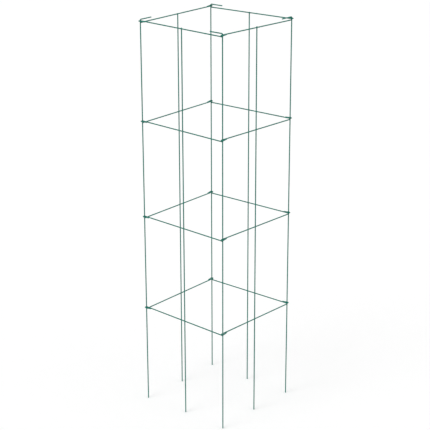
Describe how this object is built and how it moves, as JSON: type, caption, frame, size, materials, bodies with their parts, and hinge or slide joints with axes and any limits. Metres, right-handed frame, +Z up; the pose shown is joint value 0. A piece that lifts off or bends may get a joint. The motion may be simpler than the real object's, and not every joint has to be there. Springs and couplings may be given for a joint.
{
  "type": "tomato cage",
  "caption": "Tall square tomato cage of green coated wire: hinged panels of posts and rails, with hooked tops and straight legs that push into the soil; it folds flat for storage.",
  "frame": {"origin": "middle of the square at the height of the feet", "axes": "+Z up along the posts, -Y towards the front panel, +X towards the right panel"},
  "size_m": [0.3624, 0.3624, 1.3714],
  "materials": {
    "coated_wire": "semi-gloss green powder coat on steel wire"
  },
  "bodies": {
    "front_panel": {"front_corner_post": "coated_wire", "front_middle_post": "coated_wire", "front_top_rail": "coated_wire", "front_upper_rail": "coated_wire", "front_lower_rail": "coated_wire", "front_bottom_rail": "coated_wire"},
    "left_panel": {"left_corner_post": "coated_wire", "left_middle_post": "coated_wire", "left_top_rail": "coated_wire", "left_upper_rail": "coated_wire", "left_lower_rail": "coated_wire", "left_bottom_rail": "coated_wire"},
    "back_panel": {"back_corner_post": "coated_wire", "back_middle_post": "coated_wire", "back_top_rail": "coated_wire", "back_upper_rail": "coated_wire", "back_lower_rail": "coated_wire", "back_bottom_rail": "coated_wire"},
    "right_panel": {"right_corner_post": "coated_wire", "right_middle_post": "coated_wire", "right_top_rail": "coated_wire", "right_upper_rail": "coated_wire", "right_lower_rail": "coated_wire", "right_bottom_rail": "coated_wire"}
  },
  "joints": [
    {"name": "left_fold", "type": "hinge", "parent": "front_panel", "child": "left_panel", "pos_m": [-0.175, -0.175, 0], "axis": [0, 0, 1], "range_deg": [-80, 80]},
    {"name": "right_fold", "type": "hinge", "parent": "front_panel", "child": "right_panel", "pos_m": [0.175, -0.175, 0], "axis": [0, 0, 1], "range_deg": [-80, 80]},
    {"name": "back_fold", "type": "hinge", "parent": "right_panel", "child": "back_panel", "pos_m": [0.175, 0.175, 0], "axis": [0, 0, 1], "range_deg": [-80, 80]}
  ],
  "couplings": [
    {"joint": "right_fold", "follows": "left_fold", "ratio": 1},
    {"joint": "back_fold", "follows": "left_fold", "ratio": -1}
  ]
}
